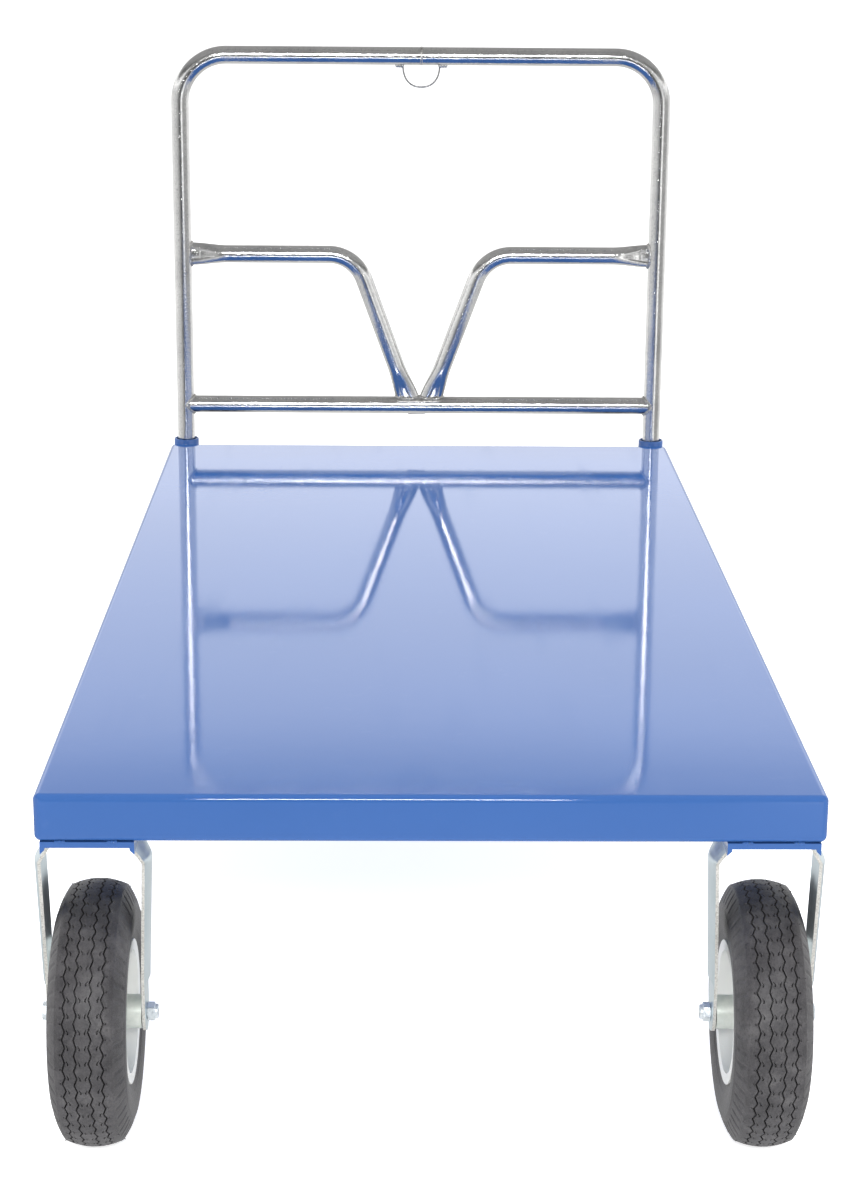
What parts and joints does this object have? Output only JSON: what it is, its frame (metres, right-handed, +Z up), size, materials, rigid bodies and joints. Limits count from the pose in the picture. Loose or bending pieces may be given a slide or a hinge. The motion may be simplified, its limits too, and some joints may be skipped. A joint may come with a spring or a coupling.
{
  "type": "platform cart",
  "caption": "Platform cart with a folded steel deck on fixed and swivelling pneumatic wheels and a lift-out tube push handle.",
  "frame": {"origin": "middle of the whole cart's footprint box, on the floor that the tyres stand on", "axes": "+X to the right seen from the front, +Y along the deck from the fixed wheels to the push handle, +Z up"},
  "size_m": [0.7782, 1.712, 0.9825],
  "materials": {
    "blue_paint": "glossy powder coat",
    "plated_tube": "bright zinc plating, slightly pitted",
    "zinc_plate": "bright zinc plating with a pale blue cast",
    "tyre_rubber": "dull ribbed rubber",
    "rim_cream": "off-white paint",
    "hub_paint": "grey-green satin paint",
    "bearing_steel": "ground steel",
    "valve_rubber": "black moulded rubber"
  },
  "bodies": {
    "cart": {"caster_bolts": "zinc_plate", "caster_nuts": "zinc_plate", "caster_riser_left": "blue_paint", "caster_riser_right": "blue_paint", "deck_pan": "blue_paint", "deck_stiffener_1": "blue_paint", "deck_stiffener_2": "blue_paint", "deck_stiffener_3": "blue_paint", "deck_welds": "blue_paint", "front_axle_bolts": "zinc_plate", "front_axle_nuts": "zinc_plate", "front_axle_sleeves": "zinc_plate", "front_bolster": "blue_paint", "front_left_fork": "zinc_plate", "front_right_fork": "zinc_plate", "handle_socket_left": "blue_paint", "handle_socket_right": "blue_paint", "kingpin_nuts": "zinc_plate", "kingpins": "zinc_plate", "rear_bolster": "blue_paint", "rear_left_top_plate": "zinc_plate", "rear_right_top_plate": "zinc_plate", "socket_stops": "blue_paint"},
    "handle": {"handle_hoop_left": "plated_tube", "handle_hoop_right": "plated_tube", "lower_crossbar": "plated_tube", "v_brace_left": "plated_tube", "v_brace_right": "plated_tube", "hanging_loop": "plated_tube", "handle_welds": "plated_tube"},
    "front_left_wheel": {"front_left_tyre": "tyre_rubber", "front_left_rim": "rim_cream", "front_left_hub": "hub_paint", "front_left_bearings": "bearing_steel", "front_left_valve": "valve_rubber"},
    "front_right_wheel": {"front_right_tyre": "tyre_rubber", "front_right_rim": "rim_cream", "front_right_hub": "hub_paint", "front_right_bearings": "bearing_steel", "front_right_valve": "valve_rubber"},
    "rear_left_wheel": {"rear_left_tyre": "tyre_rubber", "rear_left_rim": "rim_cream", "rear_left_hub": "hub_paint", "rear_left_bearings": "bearing_steel", "rear_left_valve": "valve_rubber"},
    "rear_right_wheel": {"rear_right_tyre": "tyre_rubber", "rear_right_rim": "rim_cream", "rear_right_hub": "hub_paint", "rear_right_bearings": "bearing_steel", "rear_right_valve": "valve_rubber"},
    "rear_left_swivel": {"rear_left_fork": "zinc_plate", "rear_left_bearing_balls": "bearing_steel", "rear_left_axle_bolt": "zinc_plate", "rear_left_axle_nut": "zinc_plate", "rear_left_axle_sleeve": "zinc_plate"},
    "rear_right_swivel": {"rear_right_fork": "zinc_plate", "rear_right_bearing_balls": "bearing_steel", "rear_right_axle_bolt": "zinc_plate", "rear_right_axle_nut": "zinc_plate", "rear_right_axle_sleeve": "zinc_plate"}
  },
  "joints": [
    {"name": "handle_lift", "type": "slide", "parent": "cart", "child": "handle", "axis": [0, 0, 1], "range_m": [0, 0.12]},
    {"name": "front_left_wheel_spin", "type": "hinge", "parent": "cart", "child": "front_left_wheel", "pos_m": [-0.3315, -0.723, 0.133], "axis": [1, 0, 0], "continuous": true},
    {"name": "rear_left_swivel_turn", "type": "hinge", "parent": "cart", "child": "rear_left_swivel", "pos_m": [-0.318, 0.685, 0.32], "axis": [0, 0, 1], "continuous": true},
    {"name": "rear_left_wheel_spin", "type": "hinge", "parent": "rear_left_swivel", "child": "rear_left_wheel", "pos_m": [-0.318, 0.723, 0.133], "axis": [1, 0, 0], "continuous": true},
    {"name": "front_right_wheel_spin", "type": "hinge", "parent": "cart", "child": "front_right_wheel", "pos_m": [0.3315, -0.723, 0.133], "axis": [1, 0, 0], "continuous": true},
    {"name": "rear_right_swivel_turn", "type": "hinge", "parent": "cart", "child": "rear_right_swivel", "pos_m": [0.318, 0.685, 0.32], "axis": [0, 0, 1], "continuous": true},
    {"name": "rear_right_wheel_spin", "type": "hinge", "parent": "rear_right_swivel", "child": "rear_right_wheel", "pos_m": [0.318, 0.723, 0.133], "axis": [1, 0, 0], "continuous": true}
  ]
}
